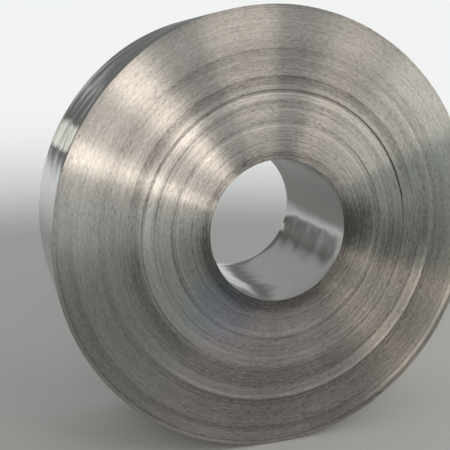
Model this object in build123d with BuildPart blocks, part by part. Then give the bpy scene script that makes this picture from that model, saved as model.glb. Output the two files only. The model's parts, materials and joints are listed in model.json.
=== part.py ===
# A coil of flat steel strip, wound up tight on a mandrel, in millimetres.
# One long strip is wrapped on itself, so the coil is one turned solid with a bore: the edges of its
# turns make the two round end faces, and its last turn makes the outside. The turns have slipped
# sideways in bundles, which leaves rings, steps and grooves on the ends. The strip is equally wide
# all along, so a bundle that stands out of the front face lies as deep in the back face.
# Frame: origin at the centre of the bore, +Y along the axis and +Z up. The front face looks to -Y.
import os
from math import cos, radians, sin

from build123d import *

# Driving dimensions
BORE_RADIUS = 254.0
OUTER_RADIUS = 792.0
STRIP_WIDTH = 540.0
STRIP_THICKNESS = 2.0

# Where the strip begins in the bore and where it ends on the outside, in degrees from +X to +Z.
# The next turn closes over each of these ends along a lap, whose arc is signed as it runs on.
HEAD_ANGLE = 200.0
HEAD_LAP_ARC = -60.0
TAIL_ANGLE = -60.0
TAIL_LAP_ARC = 180.0

# The bundles from the bore outwards: the turns that each one holds, and how far it stands out of
# the front face at its inner and at its outer edge
BUNDLES = [
    (3, -3.0, -3.0),
    (3, -1.0, -1.0),
    (63, 0.0, 1.0),
    (2, -2.5, -2.5),
    (29, 1.0, 0.5),
    (2, -1.5, -1.5),
    (18, 0.5, 1.5),
    (3, -4.0, -4.0),
    (58, 0.0, 3.0),
    (3, 3.0, 3.0),
    (5, -1.0, -1.0),
    (73, 0.0, 1.0),
    (2, -2.0, -2.0),
]
# The last bundle holds the turns that are left, at this distance out of the front face
LAST_BUNDLE = 0.5

# The slipped outline reaches this far past the bore and the outside, which the end view then cuts
CUT_MARGIN = 20.0


def on_circle(radius, angle, centre=(0.0, 0.0)):
    """The point of the end view at that radius and angle from the centre."""
    return (centre[0] + radius * cos(radians(angle)), centre[1] + radius * sin(radians(angle)))


def lap_circle(radius, step, step_angle, lap_arc):
    """Centre and radius of the circle that lies one step off the wall where the strip ends, and
    touches the wall where the lap ends."""
    stepped = radius + step
    shift = (stepped**2 - radius**2) / (2 * (radius - stepped * cos(radians(lap_arc))))
    return on_circle(-shift, step_angle + lap_arc), radius + shift


def wall_with_lap(radius, step, step_angle, lap_arc):
    """Draws a closed round wall in the open BuildLine, with a radial step at the strip's end."""
    centre, lap_radius = lap_circle(radius, step, step_angle, lap_arc)
    CenterArc((0, 0), radius, step_angle + max(lap_arc, 0), 360 - abs(lap_arc))
    lap_end = on_circle(radius, step_angle + lap_arc)
    lap_middle = on_circle(lap_radius, step_angle + lap_arc / 2, centre)
    step_foot = on_circle(radius + step, step_angle)
    ThreePointArc(lap_end, lap_middle, step_foot)
    Line(step_foot, on_circle(radius, step_angle))


def slipped_outline():
    """Radius and distance out of the front face, bundle by bundle from the bore outwards."""
    radius = BORE_RADIUS
    outline = [(radius - CUT_MARGIN, BUNDLES[0][1])]
    for turns, inner_edge, outer_edge in BUNDLES:
        outline.append((radius, inner_edge))
        radius += turns * STRIP_THICKNESS
        outline.append((radius, outer_edge))
    outline.append((radius, LAST_BUNDLE))
    outline.append((max(radius, OUTER_RADIUS) + CUT_MARGIN, LAST_BUNDLE))
    # Where two bundles meet flush, they share one point
    return list(dict.fromkeys(outline))


with BuildPart() as steel_coil:
    # The end view, with the strip's two ends, drawn out well past both faces
    with BuildSketch(Plane.XZ):
        with BuildLine():
            wall_with_lap(OUTER_RADIUS, -STRIP_THICKNESS, TAIL_ANGLE, TAIL_LAP_ARC)
        make_face()
        with BuildLine():
            wall_with_lap(BORE_RADIUS, STRIP_THICKNESS, HEAD_ANGLE, HEAD_LAP_ARC)
        make_face(mode=Mode.SUBTRACT)
    extrude(amount=STRIP_WIDTH, both=True)

    # The strip's width, turned round the axis with every bundle where it slipped to
    with BuildSketch(Plane.XY):
        with BuildLine():
            front = [(r, -STRIP_WIDTH / 2 - out) for r, out in slipped_outline()]
            back = [(r, STRIP_WIDTH / 2 - out) for r, out in slipped_outline()]
            Polyline(*front, *reversed(back), close=True)
        make_face()
    revolve(axis=Axis.Y, mode=Mode.INTERSECT)

steel_coil.part.label = "steel_coil"
os.makedirs("parts", exist_ok=True)
export_step(steel_coil.part, "parts/steel_coil.step")
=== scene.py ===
# %% [markdown]
# A heavy coil of bright steel strip, lying on the floor of a studio.
# The coil is one long strip wound up tight, some 267 turns of it, so everything that shows is strip:
# the edges of the turns make the two round ends, the last turn makes the outside and the first one
# makes the bore. This lesson winds that strip with one operator, spin, which can also move its
# profile outwards a little at each step, and so draws a true spiral in place of rings.

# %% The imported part, which every piece is built around
import bmesh
import bpy
import json
import math
import random
from mathutils import Matrix, Vector, noise


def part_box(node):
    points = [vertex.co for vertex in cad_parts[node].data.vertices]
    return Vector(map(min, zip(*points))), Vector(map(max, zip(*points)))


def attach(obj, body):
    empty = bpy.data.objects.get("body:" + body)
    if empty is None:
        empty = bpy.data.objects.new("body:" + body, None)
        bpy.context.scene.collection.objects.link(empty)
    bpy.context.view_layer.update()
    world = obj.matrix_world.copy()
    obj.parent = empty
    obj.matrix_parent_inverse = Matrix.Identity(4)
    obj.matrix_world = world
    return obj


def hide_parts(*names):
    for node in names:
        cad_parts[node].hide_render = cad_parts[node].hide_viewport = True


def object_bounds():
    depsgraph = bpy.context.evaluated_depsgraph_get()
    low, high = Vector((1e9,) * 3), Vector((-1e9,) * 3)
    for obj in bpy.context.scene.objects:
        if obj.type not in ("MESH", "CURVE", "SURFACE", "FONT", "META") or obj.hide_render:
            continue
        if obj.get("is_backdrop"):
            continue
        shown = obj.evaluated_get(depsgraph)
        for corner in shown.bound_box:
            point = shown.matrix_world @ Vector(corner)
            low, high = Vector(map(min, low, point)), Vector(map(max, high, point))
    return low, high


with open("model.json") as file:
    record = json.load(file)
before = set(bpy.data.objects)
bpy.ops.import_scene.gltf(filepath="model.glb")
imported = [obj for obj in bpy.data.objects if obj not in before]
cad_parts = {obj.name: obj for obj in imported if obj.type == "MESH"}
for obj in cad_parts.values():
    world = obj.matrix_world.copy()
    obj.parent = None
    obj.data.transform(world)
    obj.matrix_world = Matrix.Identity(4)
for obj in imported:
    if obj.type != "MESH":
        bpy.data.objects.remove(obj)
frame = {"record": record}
cad_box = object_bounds()
low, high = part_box("steel_coil")
print("steel_coil spans", [round(side, 4) for side in high - low], "m")

# %% [markdown]
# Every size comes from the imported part. Its bore is a stated mount, and its box gives the outside.
# The strip is 2 mm thick, and the places of its two ends are angles that run backwards round a
# clock: from +X, the right-hand side of the front end, up over the top.

# %% The coil's sizes, in metres
MILLIMETRE = 0.001
mounts = {mount["name"]: mount for mount in frame["record"]["mounts"]}
BORE_RADIUS = mounts["bore"]["dims"]["r_mm"] * MILLIMETRE
STRIP_WIDTH = mounts["bore"]["dims"]["length_mm"] * MILLIMETRE
OUTER_RADIUS = -low.x
STRIP_THICKNESS = 2.0 * MILLIMETRE
HEAD_ANGLE = math.radians(200)
TAIL_ANGLE = math.radians(300)
FULL_TURN = 2 * math.pi
print("bore", BORE_RADIUS, "outside", round(OUTER_RADIUS, 4), "width", STRIP_WIDTH)

# %% [markdown]
# From the strip's head in the bore to its tail on the outside, the thickness of the wall gives the
# number of turns. It isn't a whole number, because the strip's two ends lie at different angles,
# and the pitch is a hair more than the thickness, because a film of air is wound in.

# %% How many turns, and how far each one lies outside the last
TAIL_SHARE = (TAIL_ANGLE - HEAD_ANGLE) / FULL_TURN
WALL = OUTER_RADIUS - STRIP_THICKNESS - BORE_RADIUS
WHOLE_TURNS = int(WALL / STRIP_THICKNESS - TAIL_SHARE)
PITCH = WALL / (WHOLE_TURNS + TAIL_SHARE)
print("turns", round(WHOLE_TURNS + TAIL_SHARE, 3), "pitch in mm", round(PITCH / MILLIMETRE, 4))

# %% [markdown]
# A few sums come back all through this lesson, so each has a function of its own: a share that is
# kept between 0 and 1, a blend of two values, and places and angles round the axis.

# %% Helpers for shares and for places round the axis


def clamped(share):
    """The share, kept between 0 and 1."""
    return min(max(share, 0.0), 1.0)


def blend(start, end, share):
    """The value part of the way from one number to another."""
    return start + (end - start) * share


def facing(angle, side):
    """1 at the side's own angle, 0 opposite to it, and a soft change round the coil between."""
    return 0.5 + 0.5 * math.cos(angle - side)


def short_way(angle, middle):
    """The degrees from a middle to an angle, by the short way round."""
    return (angle - middle + 180) % 360 - 180


def on_circle(radius, angle):
    """The point at a radius and an angle round the axis."""
    return radius * math.cos(angle), 0, radius * math.sin(angle)


def round_axis(point):
    """The radius and the angle of a point round the axis."""
    return math.hypot(point.x, point.z), math.atan2(point.z, point.x)


print("the strip begins at", [round(side, 4) for side in on_circle(BORE_RADIUS, HEAD_ANGLE)])

# %% [markdown]
# While the coil was wound and carried, bundles of turns slipped sideways. The CAD part holds those
# bundles as rings of one height, and on the real coil they aren't: a bundle stands out, or lies in a
# groove, most of all at one angle, and opposite to it it has slipped back nearly level. Each entry
# is a number of turns, how far the bundle stands out of the front end at its inner and at its outer
# edge, the same two where it has slipped back, and the angle at which it stands as in the CAD part.
# The list of turns that is made from them runs on a little past the last turn, because every
# vertex also asks for the turn after its own.

# %% The slipped bundles, in turns, millimetres and degrees
BUNDLES = [
    (3, -3.0, -3.0, -2.0, -2.0, 150),
    (3, -1.0, -1.0, -0.5, -0.5, 150),
    (63, 0.0, 1.0, 0.0, 1.0, 0),
    (2, -2.5, -2.5, -0.8, -0.8, 265),
    (29, 1.0, 0.5, 1.0, 0.5, 0),
    (2, -1.5, -1.5, 0.3, 0.3, 150),
    (18, 0.5, 1.5, 0.5, 1.5, 0),
    (3, -4.0, -4.0, -1.6, -1.6, 60),
    (58, 0.0, 3.0, 0.0, 0.3, 300),
    (3, 3.0, 3.0, 0.3, 0.3, 300),
    (5, -1.0, -1.0, 0.2, 0.2, 300),
    (73, 0.0, 1.0, 0.0, 1.0, 0),
    (2, -2.0, -2.0, 0.3, 0.3, 260),
]
LAST_BUNDLE = (0, 0.5, 0.5, 0.5, 0.5, 0)
SPARE_TURNS = 4
LISTED_TURNS = WHOLE_TURNS + SPARE_TURNS


def slipped_places(turn):
    """Where a turn's bundle stands at its furthest and opposite, in metres, and that angle."""
    first = 0
    bundle = LAST_BUNDLE
    share = 0.5
    for candidate in BUNDLES:
        if first <= turn < first + candidate[0]:
            bundle = candidate
            share = (turn - first + 0.5) / candidate[0]
        first += candidate[0]
    _, inner, outer, back_inner, back_outer, angle = bundle
    furthest = blend(inner, outer, share)
    opposite = blend(back_inner, back_outer, share)
    return furthest * MILLIMETRE, opposite * MILLIMETRE, math.radians(angle)


SLIPPED = [slipped_places(turn) for turn in range(LISTED_TURNS)]
print("the listed bundles hold", sum(bundle[0] for bundle in BUNDLES), "turns")

# %% [markdown]
# Inside a bundle no two turns lie quite flush. A slow drift, with a jump here and there, gives every
# turn its own slip, always inwards from the CAD surface. The random numbers are seeded, so the coil
# is the same each time. A second walk gives each turn's edge its tone: an edge that was slit
# cleanly is brighter than one that is torn or dirty. A walk is given by its usual reach, by that of
# a jump, and by how likely a jump is. The sample turn lies in the deepest groove.

# %% Each turn's own slip and tone
SLIP = 0.3 * MILLIMETRE
SLIP_WALK = (0.12, 0.8, 0.12)
TONE_WALK = (0.22, 0.9, 0.15)
MIDDLE = 0.5
PULL_TO_MIDDLE = 0.35
SEED = 7
SAMPLE_TURN = 121
SAMPLE_ANGLES = (60, 240)
dice = random.Random(SEED)


def drifting(count, step, jump, jump_chance):
    """A random walk between 0 and 1 that drifts round the middle and now and then jumps."""
    place = dice.random()
    walk = []
    for _ in range(count):
        reach = jump if dice.random() < jump_chance else step
        place += dice.uniform(-reach, reach) + PULL_TO_MIDDLE * (MIDDLE - place)
        place = clamped(place)
        walk.append(place)
    return walk


own_slip = drifting(LISTED_TURNS, *SLIP_WALK)
own_tone = drifting(LISTED_TURNS, *TONE_WALK)


def stand_out(turn, angle):
    """How far a turn stands out of the front end at an angle, with its bundle's slip and its own."""
    furthest, opposite, side = SLIPPED[max(turn, 0)]
    return blend(opposite, furthest, facing(angle, side) ** 2) - SLIP * own_slip[max(turn, 0)]


for angle in SAMPLE_ANGLES:
    out = stand_out(SAMPLE_TURN, math.radians(angle)) / MILLIMETRE
    print("turn", SAMPLE_TURN, "stands out by", round(out, 1), "mm at", angle, "degrees")

# %% [markdown]
# Some rings catch the eye, and much of what they show is painted light and shade. Dark ones where a
# gap stands open are painted shade in the gap, and light ones where a few edges are burnished are the
# steel's own tone. Most of them show over a part of the turn only, where the lamps catch or miss
# them, and that is painted highlight and painted shade. Some are wide zones, where a whole bundle is
# cleaner or duller than the next, and several of those are lighter over the upper half and darker
# over the lower half, which is painted light and shade too. The band next to the bore is darker all
# round. The last entries are a painted shade wedge round +X and a painted highlight wedge round 180
# degrees, like the lamps' wedges, and a lighter stretch of the rim low down. Each entry is a patch of
# the end with soft edges: from one radius to another in millimetres, how much lighter or darker it
# is, and from one angle to another in degrees. A patch that ends past 360 runs on over +X.

# %% The rings and zones that stand out, with painted light and shade among them
LIGHT_AND_TONE_PATCHES = [
    # Darker next to the bore all round, and more so from the left round the bottom.
    (250, 294, -0.9, 0, 360),
    (250, 302, -0.5, 176, 300),
    (265, 268, 0.4, 0, 360),
    (272, 284, -0.3, 30, 175),
    (288, 290, 0.4, 0, 360),
    (294, 298, 0.35, 0, 360),
    (305, 307, -0.4, 0, 360),
    (324, 327, -0.25, 0, 360),
    (331, 335, 0.3, 0, 360),
    (337, 344, 0.4, 0, 360),
    (348, 350, 0.35, 0, 360),
    (354, 358, -0.45, 30, 160),
    (360, 368, 0.4, 0, 360),
    (372, 375, 0.3, 0, 360),
    (377, 384, 0.35, 0, 360),
    (377, 392, 0.4, 230, 300),
    (379, 382, -0.5, 143, 215),
    (383, 387, 0.3, 0, 360),
    (390, 396, -0.20, 125, 216),
    (400, 404, 0.5, 178, 250),
    (400, 404, 0.8, 298, 347),
    (422, 424, -0.3, 0, 360),
    (262, 392, -0.1, 0, 360),
    (262, 392, -0.25, 185, 252),
    (262, 392, 0.2, 252, 300),
    (405, 494, 0.2, 0, 360),
    (405, 494, 0.3, 178, 350),
    # Lighter over the upper half and darker over the lower half: painted light and shade.
    (665, 750, 0.25, 18, 172),
    (722, 770, -0.45, 178, 298),
    (435, 438, -0.4, 230, 246),
    (418, 441, -0.3, 178, 350),
    (441, 456, -0.4, 0, 360),
    (448, 452, 0.25, 0, 360),
    (452, 455, -0.7, 120, 173),
    (462, 465, -0.3, 30, 90),
    (474, 476, -0.35, 235, 290),
    (470, 488, 0.55, 28, 188),
    (482, 489, 0.3, 18, 172),
    # The deepest groove: painted shade in the gap, darkest in the upper right.
    (490, 502, -1.1, 10, 82),
    (490, 502, -0.9, 82, 172),
    (495, 501, -0.7, 172, 237),
    (493, 500, -0.5, 298, 346),
    (503, 506, 0.45, 128, 216),
    (506, 509, 0.6, 298, 346),
    (511, 513, 0.6, 298, 346),
    (517, 520, 0.7, 298, 346),
    (520, 546, -0.75, 18, 172),
    (505, 545, -0.5, 178, 232),
    (573, 602, 0.35, 120, 170),
    (573, 602, 0.5, 300, 348),
    (507, 575, -0.35, 178, 300),
    (529, 531, -0.3, 0, 360),
    (541, 551, -0.3, 20, 165),
    (556, 560, -0.3, 0, 360),
    (563, 571, -0.4, 298, 346),
    (576, 617, 0.35, 222, 348),
    (604, 617, 0.3, 230, 296),
    (604, 617, 0.8, 296, 347),
    (507, 600, 0.2, 300, 348),
    (618, 645, -0.4, 0, 360),
    (613, 645, -0.3, 80, 130),
    (618, 722, -0.2, 178, 300),
    (618, 722, -0.1, 300, 350),
    (619, 629, -0.45, 232, 348),
    (620, 624, -0.3, 128, 166),
    (632, 636, -0.25, 25, 75),
    (660, 663, -0.4, 95, 112),
    (664, 667, -0.5, 30, 60),
    (708, 711, -0.3, 0, 360),
    (721, 723, -0.3, 0, 360),
    (733, 768, 0.45, 296, 348),
    (697, 711, 0.35, 0, 360),
    (730, 742, 0.3, 18, 172),
    (747, 751, -0.9, 298, 345),
    (762, 777, 0.25, 18, 172),
    (761, 775, 0.5, 300, 348),
    (758, 766, 0.4, 300, 345),
    (772, 779, -0.7, 178, 350),
    (781, 786, 0.15, 0, 360),
    # Painted shade and painted highlight: a darker wedge round +X, a lighter one round 180 degrees.
    (250, 385, -1.1, 346, 376),
    (400, 500, -0.9, 338, 362),
    (500, 600, -0.6, 338, 362),
    (600, 700, -0.35, 344, 362),
    (400, 600, 0.45, 174, 186),
    (620, 790, 0.85, 174, 186),
    (735, 790, 0.5, 240, 278),
]
EDGE_SOFTNESS = 0.3
THINNEST_SOFTNESS = 0.5
ANGLE_SOFTNESS = 8.0
GROOVE_RADIUS = 498 * MILLIMETRE


def soft_share(off, half, softness):
    """1 well within half the width of a patch, 0 well past it, and evenly between in the soft edge."""
    return clamped((half + softness - off) / (2 * softness))


def patch_tone_and_light(radius, angle):
    """How much lighter or darker the patches, painted light and shade among them, make an edge here.
    """
    tone = 0.0
    for inner, outer, strength, first, last in LIGHT_AND_TONE_PATCHES:
        half = (outer - inner) / 2
        softness = EDGE_SOFTNESS * half + THINNEST_SOFTNESS
        off = abs(radius / MILLIMETRE - inner - half)
        if off < half + softness:
            half_turn = (last - first) / 2
            turned = abs(short_way(math.degrees(angle), first + half_turn))
            along = 1.0 if half_turn >= 180 else soft_share(turned, half_turn, ANGLE_SOFTNESS)
            tone += strength * soft_share(off, half, softness) * along
    return tone


for angle in SAMPLE_ANGLES:
    tone = patch_tone_and_light(GROOVE_RADIUS, math.radians(angle))
    print("tone of a groove at radius", GROOVE_RADIUS, "and", angle, "degrees", round(tone, 2))

# %% [markdown]
# The edge of a slit strip isn't flat. The blade rolls one corner over and leaves the other one
# sharp, so its section is a low, lopsided crown between two gaps. Each entry is one point of that
# crown: its place across the turn as a share of the pitch, and how deep it lies. The slope faces
# away from the axis, and that is why such a coil is bright where its edges face the light and dark
# on the opposite side.

# %% One turn's edge in section
GAP_DEPTH = 0.90 * MILLIMETRE
CROWN = [
    (0.10, 0.02 * MILLIMETRE),
    (0.45, 0.00 * MILLIMETRE),
    (0.90, 0.46 * MILLIMETRE),
]
SHARES = [0.0] + [share for share, _ in CROWN]


def turn_radius(turn):
    """The inner radius of a turn, at the angle of the strip's head."""
    return BORE_RADIUS + turn * PITCH


def end_places(turn, point, angle):
    """Where a point of a turn's edge lies on +Y at the front end and at the back end. 0 is the gap."""
    here = stand_out(turn, angle)
    front, back = -STRIP_WIDTH / 2, STRIP_WIDTH / 2 - SLIP
    if point == 0:
        before = stand_out(turn - 1, angle)
        return front + GAP_DEPTH - min(here, before), back - GAP_DEPTH - max(here, before)
    depth = CROWN[point - 1][1]
    return front + depth - here, back - depth - here


reach = end_places(SAMPLE_TURN, 1, math.radians(SAMPLE_ANGLES[0]))
print("turn", SAMPLE_TURN, "lies from y", [round(place, 4) for place in reach])

# %% [markdown]
# The section of a group of turns is a closed line: along the front ends of its turns, across the
# strip's width, back along the far ends, and home through the inner wall. It is drawn once, at the
# angle of the strip's head. Each point is a radius, a turn, a point of that turn's edge, and its
# share of the way from the front end to the back end. Those go into layers of the mesh, which spin
# copies along, so that every vertex later knows which point of which turn it was.

# %% The section of a group of turns
EDGE_TONE_AND_LIGHT = "edge_tone_and_light"


def section_points(first, last, wall_parts, thickness):
    """The closed section of a group as (radius, turn, point of the edge, share of the width)."""
    rim = turn_radius(last) + thickness
    along = []
    for turn in range(first, last + 1):
        for point, share in enumerate(SHARES):
            along.append((min(turn_radius(turn) + share * PITCH, rim), turn, point))
    along.append((min(turn_radius(last + 1), rim), last + 1, 0))
    shares = [part / wall_parts for part in range(1, wall_parts)]
    front = [(*place, 0.0) for place in along]
    outer_wall = [(*along[-1], share) for share in shares]
    back = [(*place, 1.0) for place in reversed(along)]
    inner_wall = [(*along[0], 1 - share) for share in shares]
    return front + outer_wall + back + inner_wall


def draw_section(mesh, points):
    """Draws the closed section at the head's angle, and gives its geometry and the layers."""
    start = mesh.verts.layers.float.new("start")
    turn = mesh.verts.layers.int.new("turn")
    point = mesh.verts.layers.int.new("point")
    width = mesh.verts.layers.float.new("width")
    corners = []
    for radius, *values in points:
        corner = mesh.verts.new(on_circle(radius, HEAD_ANGLE))
        for layer, value in zip((start, turn, point, width), (radius, *values)):
            corner[layer] = value
        corners.append(corner)
    edges = [mesh.edges.new((a, b)) for a, b in zip(corners, corners[1:] + corners[:1])]
    return corners + edges, (start, turn, point, width)


print("points round one turn", len(section_points(SAMPLE_TURN, SAMPLE_TURN, 1, PITCH)))

# %% [markdown]
# Spin turns the section round the axis, and its dvec moves the section outwards by a share of the
# pitch at each step, so after a full turn every edge lies where the next turn began. The winding
# runs from +X to +Z, which is about -Y. Then each vertex slides to its place on +Y: partly that of
# its own turn and partly that of the next one, by how far it has wound. The same share blends the
# two turns' tones, and the patches add theirs, painted light and shade among them; all of it is kept
# in a layer for the material. Low on the left, oil has crept over the edges and evened the tones out
# a little.

# %% Slide every vertex to where its turn has slipped
INNER_TONES = 1.4
OUTER_TONES = 0.65
OILY_SIDE = math.radians(225)
OILY_SHARE = 0.3


def slide_along(mesh, layers):
    """Moves every vertex on +Y to its place, and keeps its tone, painted light and shade included, in
    a layer.
    """
    start, turn_layer, point_layer, width = layers
    tone = mesh.verts.layers.float.new(EDGE_TONE_AND_LIGHT)
    for vertex in mesh.verts:
        turn, point = vertex[turn_layer], vertex[point_layer]
        radius, angle = round_axis(vertex.co)
        wound = clamped((radius - vertex[start]) / PITCH)
        now = blend(*end_places(turn, point, angle), vertex[width])
        later = blend(*end_places(turn + 1, point, angle), vertex[width])
        vertex.co.y = blend(now, later, wound)
        own = blend(own_tone[turn], own_tone[turn + 1], wound) - MIDDLE
        oil = OILY_SHARE * facing(angle, OILY_SIDE)
        reach = blend(INNER_TONES, OUTER_TONES, turn / WHOLE_TURNS) * (1 - oil)
        # The patches bring painted light and shade along with real tone; the turns' own tones are
        # real.
        vertex[tone] = patch_tone_and_light(radius, angle) + reach * own


print("own tones reach", INNER_TONES / 2, "to either side at the bore and", OUTER_TONES / 2, "outside")

# %% [markdown]
# One function winds any group. After the spin, faces that run across the strip's width are rolled
# surface and the rest are slit edges, which need another material. Where a full turn comes round,
# its end meets the next turn's start and the two are merged. What is left open there is the cut end
# of the strip, and it is filled. The layers that only served the winding are dropped again.

# %% Wind a group of turns
MERGE = 0.02 * MILLIMETRE
SHARP = math.radians(30)
LAYERS = ("start", "turn", "point", "width")


def mark_walls(mesh, start):
    """Gives the faces of the rolled surface the second material, and the slit edges the first."""
    for face in mesh.faces:
        starts = [vertex[start] for vertex in face.verts]
        face.material_index = int(max(starts) - min(starts) < MERGE)
        face.smooth = True


def close_seam(mesh, whole):
    """Merges a full turn's end with the next one's start, and fills what stays open."""
    if whole:
        bmesh.ops.remove_doubles(mesh, verts=mesh.verts, dist=MERGE)
    openings = [edge for edge in mesh.edges if edge.is_boundary]
    for face in bmesh.ops.holes_fill(mesh, edges=openings, sides=0)["faces"]:
        face.smooth = False
    bmesh.ops.recalc_face_normals(mesh, faces=mesh.faces)


def as_data(name, mesh):
    """Turns a finished bmesh into mesh data, and frees it."""
    data = bpy.data.meshes.new(name)
    mesh.to_mesh(data)
    mesh.free()
    return data


def in_scene(name, data):
    """Puts a new object with this data into the scene."""
    made = bpy.data.objects.new(name, data)
    bpy.context.scene.collection.objects.link(made)
    return made


def wind(name, first, last, angle, steps, wall_parts=1, thickness=PITCH, shape=None):
    """Winds the turns from first to last into one closed piece."""
    mesh = bmesh.new()
    section, layers = draw_section(mesh, section_points(first, last, wall_parts, thickness))
    outwards = on_circle(PITCH * angle / FULL_TURN / steps, HEAD_ANGLE)
    bmesh.ops.spin(mesh, geom=section, cent=(0, 0, 0), axis=(0, -1, 0), dvec=outwards, angle=angle,
                   steps=steps, use_merge=False, use_duplicate=False)
    slide_along(mesh, layers)
    mark_walls(mesh, layers[0])
    if shape:
        shape(mesh)
    close_seam(mesh, angle == FULL_TURN)
    still_open = sum(edge.is_boundary for edge in mesh.edges)
    triangles = sum(len(face.verts) - 2 for face in mesh.faces)
    print(name, "turns", first, "to", last, "triangles", triangles, "open edges", still_open)
    data = as_data(name, mesh)
    data.set_sharp_from_angle(angle=SHARP)
    for layer in LAYERS:
        data.attributes.remove(data.attributes[layer])
    return in_scene(name, data)


# %% [markdown]
# The outermost turn isn't a perfect drum. Cold-rolled strip keeps shallow waves in its surface, and
# near the front edge, where the rolls have stretched it, it buckles. Because the strip shines like a
# poor mirror, and because it is seen at a low angle, dents of a few tenths of a millimetre bend what
# it reflects, most of all those that follow each other across its width. All of them go inwards, so
# that the coil stays inside the CAD part, and together they are less deep than the strip is thick. A
# buckle is an angle round the coil, half its length along the strip in degrees, and its depth in
# millimetres.

# %% Waves and buckles in the outermost turn
WAVE_DEPTH = 1.2 * MILLIMETRE
WAVES_ROUND = 6.0
WAVES_ACROSS = 13.0
BUCKLES = [
    (108, 3.0, 0.6),
    (119, 2.2, 0.7),
    (127, 3.0, 0.5),
    (137, 2.2, 0.6),
    (143, 1.6, 0.8),
    (148, 2.4, 0.6),
    (159, 1.6, 0.8),
    (165, 2.4, 0.6),
    (172, 3.0, 0.5),
    (196, 4.0, 0.5),
    (60, 3.0, 0.7),
    (20, 2.6, 0.7),
    (331, 3.0, 0.7),
]
BUCKLE_REACH = 60 * MILLIMETRE


def dent(angle, y):
    """How far the strip's surface lies inwards at an angle in degrees and a place on +Y."""
    x, _, z = on_circle(OUTER_RADIUS, math.radians(angle))
    place = Vector((x * WAVES_ROUND, y * WAVES_ACROSS, z * WAVES_ROUND))
    depth = WAVE_DEPTH * clamped(MIDDLE + noise.noise(place))
    edge_share = math.exp(-((y + STRIP_WIDTH / 2) / BUCKLE_REACH) ** 2)
    for centre, half_length, buckle_depth in BUCKLES:
        off = short_way(angle, centre) / half_length
        depth += buckle_depth * MILLIMETRE * math.exp(-off * off) * edge_share
    return depth


def dent_wrap(mesh):
    """Moves the vertices of the last turn inwards by the dent at their place."""
    for vertex in mesh.verts:
        radius, angle = round_axis(vertex.co)
        share = 1 - dent(math.degrees(angle) % 360, vertex.co.y) / radius
        vertex.co.x *= share
        vertex.co.z *= share


for angle, _, _ in BUCKLES:
    depth = dent(angle, -STRIP_WIDTH / 2) / MILLIMETRE
    print("buckle at", angle, "degrees, dent in mm", round(depth, 2))

# %% [markdown]
# The coil is wound in four groups of turns, because one mesh of every turn would be too heavy, and
# then the last wrap. That one runs a full turn and on to the tail, in finer steps, with rows across
# its width for the waves in its surface.

# %% Wind the coil
GROUPS = 4
WRAP_TURN = WHOLE_TURNS - 1
STEPS = 144
BORE_ROWS = 12
WRAP_STEPS = 460
WRAP_ROWS = 24
pieces = []
for group in range(GROUPS):
    first = WRAP_TURN * group // GROUPS
    last = WRAP_TURN * (group + 1) // GROUPS - 1
    rows = BORE_ROWS if group == 0 else 1
    pieces.append(wind("turns_" + str(group + 1), first, last, FULL_TURN, STEPS, rows))
wrap_angle = FULL_TURN * (1 + TAIL_SHARE)
pieces.append(wind("last_wrap", WRAP_TURN, WRAP_TURN, wrap_angle, WRAP_STEPS, WRAP_ROWS,
                   STRIP_THICKNESS, dent_wrap))

# %% [markdown]
# The two finishes are built from nodes. A few helpers keep that short: each one makes a node, joins
# its inputs to links or numbers, and gives its output, so that the trees below read like sums. A Mix
# node has its sockets for numbers and vectors first, so those for colours go by their places.

# %% Helpers that make one node each
NUMBER_OPERATIONS = ("LENGTH", "DISTANCE", "DOT_PRODUCT")
FIRST_COLOUR = 6
SECOND_COLOUR = 7
MIXED_COLOUR = 2


def new_material(name):
    """A material with a Principled shader on its output; gives it, its tree and the shader."""
    material = bpy.data.materials.new(name)
    material.use_nodes = True
    tree = material.node_tree
    tree.nodes.clear()
    out = tree.nodes.new("ShaderNodeOutputMaterial")
    shader = tree.nodes.new("ShaderNodeBsdfPrincipled")
    tree.links.new(shader.outputs[0], out.inputs["Surface"])
    return material, tree, shader


def join(tree, sockets, values):
    """Fills a node's inputs in turn, each with a link or with a value of its own."""
    for socket, value in zip(sockets, values):
        if isinstance(value, bpy.types.NodeSocket):
            tree.links.new(value, socket)
        else:
            socket.default_value = value


def coordinates(tree, kind="Object"):
    """A Texture Coordinate node; gives the place in one kind of its coordinates."""
    return tree.nodes.new("ShaderNodeTexCoord").outputs[kind]


def split_xyz(tree, vector):
    """A Separate XYZ node; gives its outputs, which go by X, Y and Z."""
    made = tree.nodes.new("ShaderNodeSeparateXYZ")
    join(tree, made.inputs, [vector])
    return made.outputs


def combine_xyz(tree, *values):
    """A Combine XYZ node; gives its output."""
    made = tree.nodes.new("ShaderNodeCombineXYZ")
    join(tree, made.inputs, values)
    return made.outputs[0]


def math_node(tree, operation, *values):
    """A Math node; gives its output."""
    made = tree.nodes.new("ShaderNodeMath")
    made.operation = operation
    join(tree, made.inputs, values)
    return made.outputs[0]


def vector_math(tree, operation, *values):
    """A Vector Math node; gives its output, which is a number for some operations."""
    made = tree.nodes.new("ShaderNodeVectorMath")
    made.operation = operation
    join(tree, made.inputs, values)
    return made.outputs["Value" if operation in NUMBER_OPERATIONS else "Vector"]


def spread(tree, value, low_end, high_end):
    """Turns a value from 0 to 1 into one between two ends."""
    return math_node(tree, "MULTIPLY_ADD", value, high_end - low_end, low_end)


def smooth_step(tree, value, low_end, high_end):
    """0 up to the low end, 1 from the high end on, and a soft slope between them."""
    made = tree.nodes.new("ShaderNodeMapRange")
    made.interpolation_type = "SMOOTHSTEP"
    join(tree, made.inputs, (value, low_end, high_end))
    return made.outputs["Result"]


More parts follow.
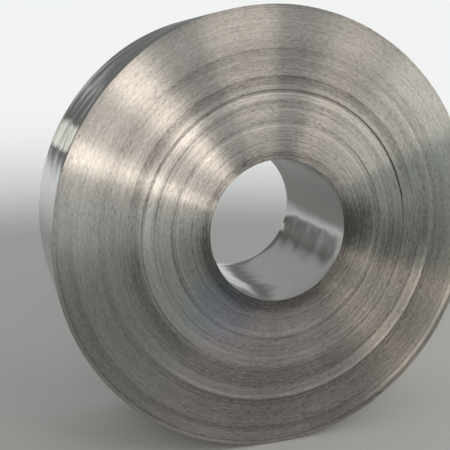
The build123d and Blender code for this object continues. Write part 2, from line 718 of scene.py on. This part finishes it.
def mix_colours(tree, share, first, second, blend_type="MIX"):
    """A Mix node for colours; gives its output."""
    made = tree.nodes.new("ShaderNodeMix")
    made.data_type = "RGBA"
    made.blend_type = blend_type
    sockets = [made.inputs[key] for key in ("Factor", FIRST_COLOUR, SECOND_COLOUR)]
    join(tree, sockets, (share, first, second))
    return made.outputs[MIXED_COLOUR]


print("helpers ready for", bpy.app.version_string)

# %% [markdown]
# Both finishes have a grain that is long along the strip and fine across it: scratches from the rolls
# on the flat of it, and the marks of the slitting blades on its edges. The group takes a place, and
# a level, which is the value that changes across the grain. On the slit edges that is the radius,
# and on the rolled face it is the place along the axis. It stretches a noise between the two.

# %% The grain, used by both finishes
GRAIN_INPUTS = [
    ("Place", "NodeSocketVector"),
    ("Level", "NodeSocketFloat"),
    ("Along", "NodeSocketFloat"),
    ("Across", "NodeSocketFloat"),
    ("Detail", "NodeSocketFloat"),
]


def grain_group():
    """Streaks along the strip: noise that is long one way and fine the other."""
    tree = bpy.data.node_groups.new("strip_grain", "ShaderNodeTree")
    for name, kind in GRAIN_INPUTS:
        tree.interface.new_socket(name, in_out="INPUT", socket_type=kind)
    tree.interface.new_socket("Value", in_out="OUTPUT", socket_type="NodeSocketFloat")
    come = tree.nodes.new("NodeGroupInput").outputs
    go = tree.nodes.new("NodeGroupOutput")
    place = split_xyz(tree, come["Place"])
    stretched = combine_xyz(
        tree,
        math_node(tree, "MULTIPLY", place["X"], come["Along"]),
        math_node(tree, "MULTIPLY", place["Z"], come["Along"]),
        math_node(tree, "MULTIPLY", come["Level"], come["Across"]))
    clouds = tree.nodes.new("ShaderNodeTexNoise")
    clouds.inputs["Scale"].default_value = 1.0
    tree.links.new(stretched, clouds.inputs["Vector"])
    tree.links.new(come["Detail"], clouds.inputs["Detail"])
    tree.links.new(clouds.outputs["Fac"], go.inputs["Value"])
    return tree


STRIP_GRAIN = grain_group()


def grain(tree, place, level, along, across, detail=2.0):
    """Places the grain group, with so many streaks to the metre each way, and gives its value."""
    made = tree.nodes.new("ShaderNodeGroup")
    made.node_tree = STRIP_GRAIN
    join(tree, made.inputs, (place, level, along, across, detail))
    return made.outputs["Value"]


print("grain group inputs", [name for name, _ in GRAIN_INPUTS], "nodes", len(STRIP_GRAIN.nodes))

# %% [markdown]
# The ends of the coil are bare sheared steel. All their fine marks run round the coil, so each spot
# spreads light outwards and inwards and hardly at all sideways, and a lamp shows as a bright wedge
# from the bore to the rim, with its mate on the opposite side. The Principled shader does that with
# Anisotropic, and its tangent has to point straight away from the axis. Tone comes from the layer
# that the winding left, which holds painted light and shade as well as the turns' own tones, and
# from grain at two scales; dark flecks are nicks where the blade tore the edge. Each grain is given
# by how many streaks it has to the metre along the strip and across it, and how finely they are
# broken up. A film of oil tinges the steel a little purplish in one sector, and greenish tinges in
# two other sectors are a painted reflection of a greenish floor; each sector is given by its middle
# and half its width in degrees. Low on the left the oil also calms the grain and the nicks. Near the
# bore, on the same side, there is a bluish stain.

# %% The slit edges
PLAIN_TONE = 0.5
EDGE_COLOURS = [
    (0.0, (0.143, 0.131, 0.122, 1)),
    (PLAIN_TONE, (0.460, 0.438, 0.409, 1)),
    (1.0, (0.785, 0.755, 0.715, 1)),
]
EDGE_ROUGHNESS = (0.30, 0.27)
EDGE_ANISOTROPY = 0.95
TONE_REACH = 0.30
STAIN_PLACE = (-0.215, -0.27, -0.245)
STAIN_COLOUR = (0.85, 0.93, 1.10, 1)
STAIN_REACH = (0.02, 0.20)
FILMS_AND_REFLECTED_TINTS = [
    # Greenish: a painted reflection of a greenish floor, on the left.
    (200, 30, (0.915, 0.995, 1.010, 1)),
    # Purplish: a film of oil.
    (266, 34, (0.985, 0.970, 1.035, 1)),
    # Greenish: a painted reflection of a greenish floor, on the right.
    (6, 20, (0.920, 1.000, 1.015, 1)),
]
SECTOR_SOFTNESS = 6
FINE_GRAIN = (64.0, 600.0, 3.0)
FINE_TONE = 0.52
BROAD_GRAIN = (16.0, 170.0)
BROAD_TONE = 0.14
NICK_GRAIN = (54.0, 420.0)
NICK_LIMITS = (0.60, 0.72)
NICK_TONE = -0.32
OILED_SECTOR = (212, 36)
OILED_CALM = 0.3


def in_sector(tree, outward, angle, half):
    """1 in a sector of the end, given by its middle and half its width in degrees, and 0 past it."""
    toward = vector_math(tree, "DOT_PRODUCT", outward, on_circle(1.0, math.radians(angle)))
    sides = [math.cos(math.radians(half + soft)) for soft in (SECTOR_SOFTNESS, -SECTOR_SOFTNESS)]
    return smooth_step(tree, toward, *sides)


def edge_level(tree, place, radius, outward, fine):
    """How light the edge is, from 0 to 1 with its plain tone in the middle."""
    # This layer holds the turns' own tones and the patches' painted light and shade.
    tone = tree.nodes.new("ShaderNodeAttribute")
    tone.attribute_name = EDGE_TONE_AND_LIGHT
    broad = grain(tree, place, radius, *BROAD_GRAIN)
    nick = smooth_step(tree, grain(tree, place, radius, *NICK_GRAIN), *NICK_LIMITS)
    streaks = spread(tree, fine, -FINE_TONE, FINE_TONE)
    marks = math_node(tree, "MULTIPLY_ADD", nick, NICK_TONE, streaks)
    calm = spread(tree, in_sector(tree, outward, *OILED_SECTOR), 1.0, 1.0 - OILED_CALM)
    level = math_node(tree, "MULTIPLY_ADD", tone.outputs["Fac"], TONE_REACH, PLAIN_TONE)
    level = math_node(tree, "ADD", level, spread(tree, broad, -BROAD_TONE, BROAD_TONE))
    return math_node(tree, "MULTIPLY_ADD", marks, calm, level)


def under_films_and_reflections(tree, outward, colour):
    """The colour with a purplish film of oil and greenish painted reflections on it, each a soft
    sector.
    """
    for angle, half, tinge in FILMS_AND_REFLECTED_TINTS:
        share = in_sector(tree, outward, angle, half)
        colour = mix_colours(tree, share, colour, tinge, "MULTIPLY")
    return colour


def slit_edges():
    """Bare sheared steel, brushed along the strip."""
    material, tree, shader = new_material("slit_edges")
    place = coordinates(tree)
    flat = vector_math(tree, "MULTIPLY", place, (1, 0, 1))
    radius = vector_math(tree, "LENGTH", flat)
    outward = vector_math(tree, "NORMALIZE", flat)
    fine = grain(tree, place, radius, *FINE_GRAIN)
    ramp = tree.nodes.new("ShaderNodeValToRGB")
    while len(ramp.color_ramp.elements) < len(EDGE_COLOURS):
        ramp.color_ramp.elements.new(PLAIN_TONE)
    for element, (position, colour) in zip(ramp.color_ramp.elements, EDGE_COLOURS):
        element.position = position
        element.color = colour
    tree.links.new(edge_level(tree, place, radius, outward, fine), ramp.inputs[0])
    colour = under_films_and_reflections(tree, outward, ramp.outputs[0])
    off_stain = vector_math(tree, "DISTANCE", place, STAIN_PLACE)
    stain = math_node(tree, "SUBTRACT", 1.0, smooth_step(tree, off_stain, *STAIN_REACH))
    colour = mix_colours(tree, stain, colour, STAIN_COLOUR, "MULTIPLY")
    tree.links.new(colour, shader.inputs["Base Color"])
    tree.links.new(spread(tree, fine, *EDGE_ROUGHNESS), shader.inputs["Roughness"])
    tree.links.new(outward, shader.inputs["Tangent"])
    shader.inputs["Metallic"].default_value = 1.0
    shader.inputs["Anisotropic"].default_value = EDGE_ANISOTROPY
    return material


SLIT_EDGES = slit_edges()
print("slit edges use", len(SLIT_EDGES.node_tree.nodes), "nodes")

# %% [markdown]
# The flat of the strip, on the outside and in the bore, is cold-rolled: bright, hardly rough, with
# fine scratches along it from the rolls. They spread light across the strip, so here the tangent
# is the axis. The rolls also leave ripples, too many and too small for the mesh: a bump node tilts
# the surface for those, by the same grain at a much larger scale.

# %% The rolled face
FACE_COLOUR = (0.46, 0.46, 0.445, 1)
FACE_ROUGHNESS = (0.09, 0.19)
FACE_ANISOTROPY = 0.7
SCRATCHES = (6.0, 600.0, 3.0)
RIPPLES = (9.0, 10.0, 1.0)
RIPPLE_HEIGHT = 3.5 * MILLIMETRE


def rolled_face():
    """Bright rolled steel."""
    material, tree, shader = new_material("rolled_face")
    place = coordinates(tree)
    across = split_xyz(tree, place)["Y"]
    bumps = tree.nodes.new("ShaderNodeBump")
    bumps.inputs["Distance"].default_value = RIPPLE_HEIGHT
    tree.links.new(grain(tree, place, across, *RIPPLES), bumps.inputs["Height"])
    tree.links.new(bumps.outputs["Normal"], shader.inputs["Normal"])
    tree.links.new(combine_xyz(tree, 0.0, 1.0, 0.0), shader.inputs["Tangent"])
    fine = grain(tree, place, across, *SCRATCHES)
    tree.links.new(spread(tree, fine, *FACE_ROUGHNESS), shader.inputs["Roughness"])
    shader.inputs["Base Color"].default_value = FACE_COLOUR
    shader.inputs["Metallic"].default_value = 1.0
    shader.inputs["Anisotropic"].default_value = FACE_ANISOTROPY
    return material


ROLLED_FACE = rolled_face()
print("rolled face uses", len(ROLLED_FACE.node_tree.nodes), "nodes")

# %% [markdown]
# Every piece gets both finishes, in the order that the winding gave its faces. Then each one is
# handed over: it moves with the part's root, and takes the place of the CAD coil.

# %% Dress the pieces and hand them over
for piece in pieces:
    piece.data.materials.append(SLIT_EDGES)
    piece.data.materials.append(ROLLED_FACE)
    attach(piece, "root")
    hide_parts("steel_coil")
print("pieces handed over", [piece.name for piece in pieces])

# %% [markdown]
# Bright steel shows its surroundings more than itself, so the studio is part of the picture. Its
# backdrop is pale at the horizon and greyer overhead. Behind the coil it is low, and it ends a
# little to the left: above it and past its end the room is dim. That lies outside the picture, and
# it gives the shiny outermost turn something dark to reflect. The colours hang on the direction
# alone, from the world's own Generated coordinates.

# %% The backdrop and the room
HORIZON_COLOUR = (0.88, 0.90, 0.89, 1)
CEILING_COLOUR = (0.475, 0.485, 0.485, 1)
CEILING_CLIMB = (math.sin(math.radians(8)), math.sin(math.radians(32)))
ROOM_COLOUR = (0.15, 0.15, 0.145, 1)
ROOM_TO_LEFT = (math.radians(1), math.radians(4))
ROOM_ABOVE = (math.sin(math.radians(6)), math.sin(math.radians(8)))
ROOM_SIDES = (math.radians(22), math.radians(45))
ROOM_FOOT = (math.sin(math.radians(-4)), math.sin(math.radians(-1)))
ROOM_TOP = (math.sin(math.radians(14)), math.sin(math.radians(26)))
world = bpy.data.worlds.new("studio")
bpy.context.scene.world = world
world.use_nodes = True
tree = world.node_tree
direction = split_xyz(tree, coordinates(tree, "Generated"))
upwards = direction["Z"]
climb = smooth_step(tree, upwards, *CEILING_CLIMB)
backdrop = mix_colours(tree, climb, HORIZON_COLOUR, CEILING_COLOUR)
leftwards = math_node(tree, "MULTIPLY", direction["X"], -1.0)
to_left = math_node(tree, "ARCTAN2", leftwards, direction["Y"])
past_end = smooth_step(tree, to_left, *ROOM_TO_LEFT)
in_room = math_node(tree, "MAXIMUM", past_end, smooth_step(tree, upwards, *ROOM_ABOVE))
in_room = math_node(tree, "MULTIPLY", in_room, smooth_step(tree, upwards, *ROOM_FOOT))
off_centre = math_node(tree, "ABSOLUTE", to_left)
for value, limits in ((off_centre, ROOM_SIDES), (upwards, ROOM_TOP)):
    within = math_node(tree, "SUBTRACT", 1.0, smooth_step(tree, value, *limits))
    in_room = math_node(tree, "MULTIPLY", in_room, within)
surroundings = mix_colours(tree, in_room, backdrop, ROOM_COLOUR)
tree.links.new(surroundings, tree.nodes["Background"].inputs["Color"])
print("horizon", HORIZON_COLOUR[:3], "ceiling", CEILING_COLOUR[:3])

# %% [markdown]
# The floor is a wide pale disc under the coil. Far out it fades into the backdrop, so that no
# horizon line cuts the picture. The fade goes by one over the distance, because that is even in
# the picture, where the floor narrows towards the horizon.

# %% The floor
FLOOR_RADIUS = 40.0
FLOOR_CORNERS = 96
FLOOR_COLOUR = (0.52, 0.52, 0.51, 1)
FLOOR_ROUGHNESS = 0.8
FADE_FROM = 3.5
FADE_TO = 35.0
floor_mesh = bmesh.new()
bmesh.ops.create_circle(floor_mesh, cap_ends=True, segments=FLOOR_CORNERS, radius=FLOOR_RADIUS)
bmesh.ops.translate(floor_mesh, verts=floor_mesh.verts, vec=(0, 0, low.z))
floor = in_scene("floor", as_data("floor", floor_mesh))
floor_paint, tree, shader = new_material("pale_floor")
shader.inputs["Base Color"].default_value = FLOOR_COLOUR
shader.inputs["Roughness"].default_value = FLOOR_ROUGHNESS
far = vector_math(tree, "LENGTH", coordinates(tree))
near = math_node(tree, "DIVIDE", 1.0, far)
tree.links.new(smooth_step(tree, near, 1 / FADE_TO, 1 / FADE_FROM), shader.inputs["Alpha"])
floor.data.materials.append(floor_paint)
floor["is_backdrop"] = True
print("floor at z", round(low.z, 4))

# %% [markdown]
# Softboxes light the coil. Each bright wedge on the end comes from one of them: the wedge's angle
# follows the lamp's direction, and its width the lamp's size, so the lamps were placed by
# comparing the wedges. Sizes are in degrees as seen from the coil, and the brightness is that of
# the lamp's own surface, which makes its power follow from its area. Most are warm, the one straight
# in front is a little rosier, and the one far to the right is cooler, as daylight from a door would
# be. Another cool one stands behind the coil on the left, in the dim room, where the shiny outermost
# turn mirrors it in its waves.

# %% The softboxes
LAMP_DISTANCE = 7.0
WARM = (1.0, 0.905, 0.80)
ROSY = (1.0, 0.875, 0.79)
COOL = (0.96, 0.965, 0.88)


def softbox(name, azimuth, elevation, width, height, radiance, colour=WARM):
    """A rectangular lamp that faces the coil. Azimuth 0 is in front of it and 90 is to its right."""
    lamp = bpy.data.lights.new(name, "AREA")
    lamp.shape = "RECTANGLE"
    lamp.size = 2 * LAMP_DISTANCE * math.tan(math.radians(width) / 2)
    lamp.size_y = 2 * LAMP_DISTANCE * math.tan(math.radians(height) / 2)
    lamp.energy = radiance * math.pi * lamp.size * lamp.size_y
    lamp.color = colour
    light = in_scene(name, lamp)
    round_coil = Matrix.Rotation(math.radians(azimuth), 3, "Z")
    upwards = Matrix.Rotation(math.radians(90 - elevation), 3, "X")
    turn = round_coil @ upwards
    light.location = turn @ Vector((0, 0, LAMP_DISTANCE))
    light.rotation_euler = turn.to_euler()
    light.visible_camera = False
    print(name, "at", [round(side, 2) for side in light.location], "power", round(lamp.energy), "W")


softbox("front_low", -2, 5, 6, 18, 4.3, ROSY)
softbox("left_high", -15, 24, 13, 6, 9.2)
softbox("top_right", 13, 44, 20, 6, 5.6)
softbox("right", 36, 15, 6, 24, 3.1)
softbox("far_right", 75, 18, 20, 20, 5.0, COOL)
softbox("left_low", -36, 10.6, 10.5, 6, 11.5)
softbox("behind_left", -166, 4.5, 2.4, 5, 2.2, COOL)

# %% [markdown]
# The camera stands where the photo was taken from: in front of the coil, to its left and a little
# above its middle, so that the end shows nearly round and the outside shows as a narrow crescent.
# A short shift puts the coil where it sits in the frame, as when a picture is cropped.

# %% The camera
PHOTO_SIDE = 450
PRINCIPAL_ROW = 165
SENSOR_WIDTH = 36
LENS = 59.1
STAND = (-0.982, -2.650, 0.562)
DOWN = 7.24
TO_THE_RIGHT = 18.1
camera_data = bpy.data.cameras.new("photo_camera")
camera_data.sensor_width = SENSOR_WIDTH
camera_data.lens = LENS
camera_data.shift_y = (PRINCIPAL_ROW - PHOTO_SIDE / 2) / PHOTO_SIDE
camera = in_scene("photo_camera", camera_data)
camera.location = STAND
camera.rotation_euler = (math.radians(90 - DOWN), 0, math.radians(-TO_THE_RIGHT))
bpy.context.scene.camera = camera
bpy.context.scene.view_settings.view_transform = "Standard"
print("camera shift", round(camera_data.shift_y, 4))

# %% [markdown]
# Last, the two boxes are printed: the one around the CAD part before anything was built, and
# the one around the dressed coil.

# %% Sizes
visual_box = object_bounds()
for name, box in (("CAD", cad_box), ("visual", visual_box)):
    print(name, "box", [[round(side, 4) for side in corner] for corner in box])
